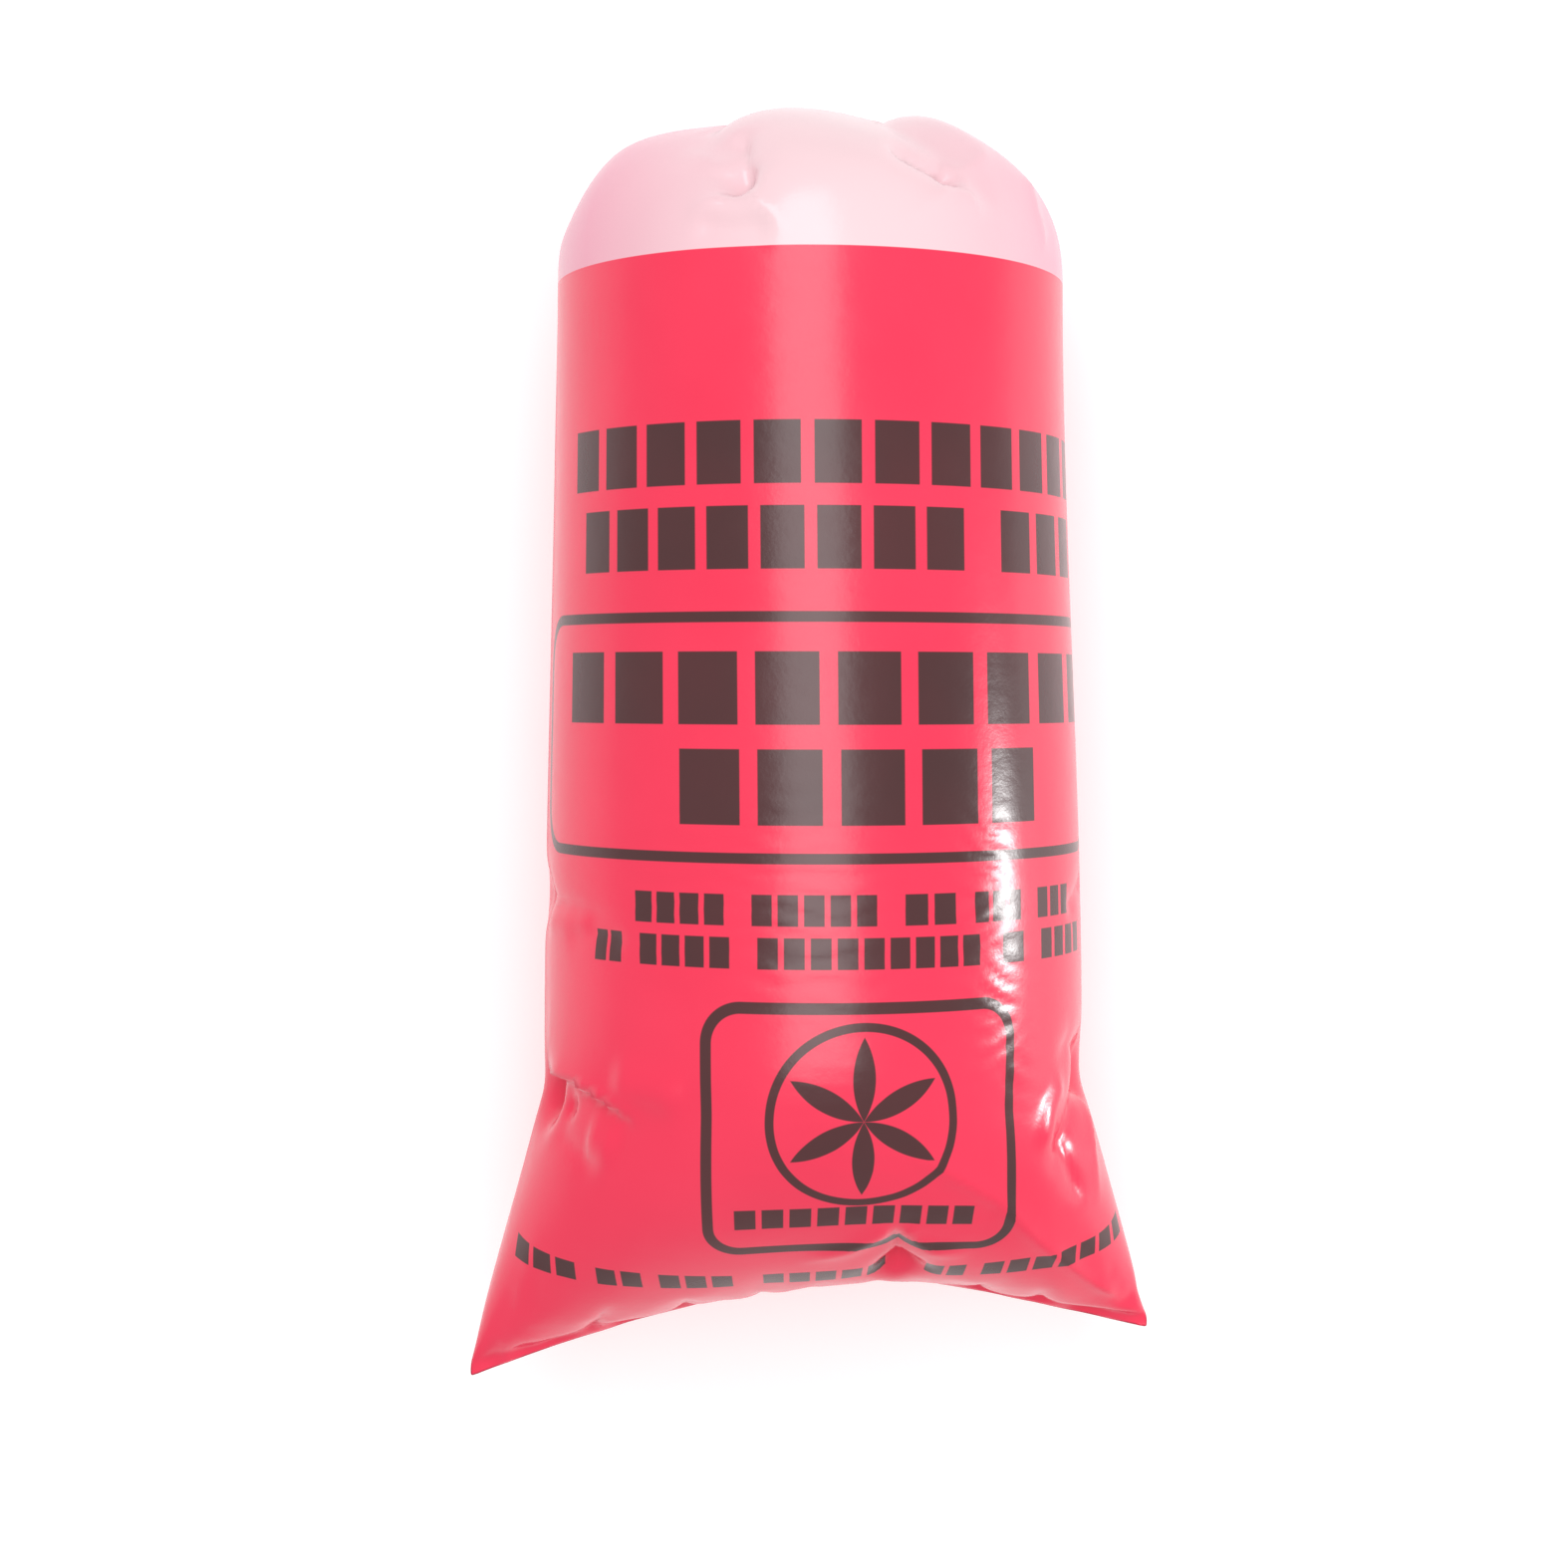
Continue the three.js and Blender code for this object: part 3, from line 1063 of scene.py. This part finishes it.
@dataclass(frozen=True)
class RubberFinish:
    """The matt natural rubber of the band."""

    pale: tuple = paint(236, 196, 150)
    deep: tuple = paint(214, 166, 118)
    cloud_scale: float = 400
    grain_scale: float = 2500
    roughness: float = 0.55
    roughness_change: float = 0.2
    relief_strength: float = 0.3
    relief_depth: float = 0.0002

    def make(self) -> bpy.types.Material:
        """Builds the band's material.

        Returns:
            The material.
        """
        shader = Shader("tie")
        shape = shader.node("ShaderNodeTexCoord").outputs["Object"]
        cloud = shader.noise(shape, self.cloud_scale, 3)
        shader.join(shader.skin.inputs["Base Color"], shader.blend(cloud, self.pale, self.deep))
        shader.join(shader.skin.inputs["Roughness"], self.roughness + cloud * self.roughness_change)
        relief = shader.node(
            "ShaderNodeBump",
            Strength=self.relief_strength,
            Distance=self.relief_depth,
            Height=shader.noise(shape, self.grain_scale, 2),
        )
        shader.join(shader.skin.inputs["Normal"], relief.outputs["Normal"])
        return shader.material


@dataclass
class TieBand:
    """The thin band that is wound round the neck."""

    form: FilmForm
    turns: int = 4
    thickness: float = 1.25 * MM
    spacing: float = 1.5 * MM
    play: float = 0.35 * MM
    tilt: float = math.radians(4)
    back_tilt: float = -0.6
    strand_sides: int = 12
    round_steps: int = 64

    def make(self) -> bpy.types.Object:
        """Builds the turns of the band and gives them their finish.

        Returns:
            The band's object.
        """
        mesh = bmesh.new()
        reach = self.form.neck_radius + self.play + self.thickness / 2
        upright = Matrix.Rotation(math.pi / 2, 3, "X")
        for number in range(self.turns):
            strand = self.thickness / 2
            start = bmesh.ops.create_circle(mesh, segments=self.strand_sides, radius=strand)["verts"]
            bmesh.ops.rotate(mesh, verts=start, cent=(0, 0, 0), matrix=upright)
            bmesh.ops.translate(mesh, verts=start, vec=(reach, 0, 0))
            rim = list({edge for vert in start for edge in vert.link_edges})
            bmesh.ops.spin(
                mesh, geom=start + rim, cent=(0, 0, 0), axis=(0, 0, 1),
                angle=2 * math.pi, steps=self.round_steps, use_merge=True,
            )
            ring = [vert for vert in mesh.verts if not vert.tag]
            lean = self.tilt * (1 if number % 2 else self.back_tilt)
            bmesh.ops.rotate(mesh, verts=ring, cent=(0, 0, 0), matrix=Matrix.Rotation(lean, 3, "X"))
            lift = (number - (self.turns - 1) / 2) * self.spacing
            bmesh.ops.translate(mesh, verts=ring, vec=(0, 0, lift))
            for vert in ring:
                vert.tag = True
        turn = self.form.along_neck.to_track_quat("Z", "X").to_matrix().to_4x4()
        place = Matrix.Translation(self.form.neck_middle) @ turn
        bmesh.ops.transform(mesh, matrix=place, verts=mesh.verts)
        bmesh.ops.recalc_face_normals(mesh, faces=mesh.faces)
        for face in mesh.faces:
            face.smooth = True
        data = bpy.data.meshes.new("tie_band")
        mesh.to_mesh(data)
        mesh.free()
        piece = bpy.data.objects.new("tie_band", data)
        bpy.context.scene.collection.objects.link(piece)
        data.materials.append(RubberFinish().make())
        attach(piece, "root")
        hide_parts("neck_tie")
        return piece


@dataclass(frozen=True)
class FloorFinish:
    """The floor's matt white, a little bright by itself as in a light tent."""

    white: tuple = (0.82, 0.82, 0.82, 1)
    roughness: float = 0.9
    glow: float = 0.28

    def make(self) -> bpy.types.Material:
        """Builds the floor's material.

        Returns:
            The material.
        """
        shader = Shader("floor")
        shader.skin.inputs["Base Color"].default_value = self.white
        shader.skin.inputs["Roughness"].default_value = self.roughness
        shader.skin.inputs["Emission Color"].default_value = (1, 1, 1, 1)
        shader.skin.inputs["Emission Strength"].default_value = self.glow
        return shader.material


@dataclass
class Studio:
    """The plain pale floor, the soft studio light and the photograph's view."""

    form: FilmForm
    view_distance: float = 0.987
    view_side: float = -0.0095
    view_along: float = 0.2681
    lens: float = 59.1
    sensor: float = 36
    shift: float = -0.0648
    floor_half: float = 6
    surround: float = 0.62

    def floor(self) -> None:
        """Lays the floor."""
        mesh = bmesh.new()
        bmesh.ops.create_grid(mesh, x_segments=1, y_segments=1, size=self.floor_half)
        data = bpy.data.meshes.new("floor")
        mesh.to_mesh(data)
        mesh.free()
        floor = bpy.data.objects.new("floor", data)
        bpy.context.scene.collection.objects.link(floor)
        data.materials.append(FloorFinish().make())

    def lamp(self, name: str, place: tuple, aim: tuple, size: tuple[float, float], watts: float) -> None:
        """Hangs one soft light.

        Args:
            name: the light's name.
            place: where it hangs, in metres.
            aim: the point that it shines at.
            size: its width and length, in metres.
            watts: its power.
        """
        light = bpy.data.lights.new(name, "AREA")
        light.shape = "RECTANGLE"
        light.size, light.size_y = size
        light.energy = watts
        lamp = bpy.data.objects.new(name, light)
        lamp.location = place
        lamp.rotation_euler = (Vector(aim) - Vector(place)).to_track_quat("-Z", "Y").to_euler()
        bpy.context.scene.collection.objects.link(lamp)

    def light(self) -> None:
        """Sets the studio's white surround and its lights."""
        world = bpy.data.worlds.new("studio")
        world.use_nodes = True
        sky = world.node_tree.nodes["Background"]
        sky.inputs["Color"].default_value = (1, 1, 1, 1)
        sky.inputs["Strength"].default_value = self.surround
        bpy.context.scene.world = world
        self.lamp("overhead", place=(-0.05, 0.3, 1.5), aim=(0, 0, 0.1), size=(0.75, 1.7), watts=14)
        self.lamp(
            "side_strip", place=(1.0, -0.12, 0.25), aim=(0.08, -0.08, 0.12), size=(0.04, 0.16), watts=2.6
        )

    def camera(self) -> None:
        """Sets the camera straight above the bag, as the photograph sees it."""
        view = bpy.data.cameras.new("photo_view")
        view.lens = self.lens
        view.sensor_width = self.sensor
        view.shift_y = self.shift
        camera = bpy.data.objects.new("photo_view", view)
        along = self.form.corner_y + self.view_along
        camera.location = (self.view_side, along, self.form.axis_height + self.view_distance)
        bpy.context.scene.collection.objects.link(camera)
        bpy.context.scene.camera = camera
        bpy.context.scene.view_settings.view_transform = "Standard"

    def build(self) -> None:
        """Sets everything round the bag."""
        self.floor()
        self.light()
        self.camera()


def main() -> None:
    """Builds and dresses the bag."""
    logging.basicConfig(level=logging.INFO)
    film = BagFilm()
    Studio(film.form).build()
    bag = film.make()
    bag.data.materials.append(FilmFinish().make(film.form))
    log.info("%s: %d vertices", bag.name, len(bag.data.vertices))
    tie = TieBand(film.form).make()
    log.info("%s: %d vertices", tie.name, len(tie.data.vertices))


if __name__ == "__main__":
    main()
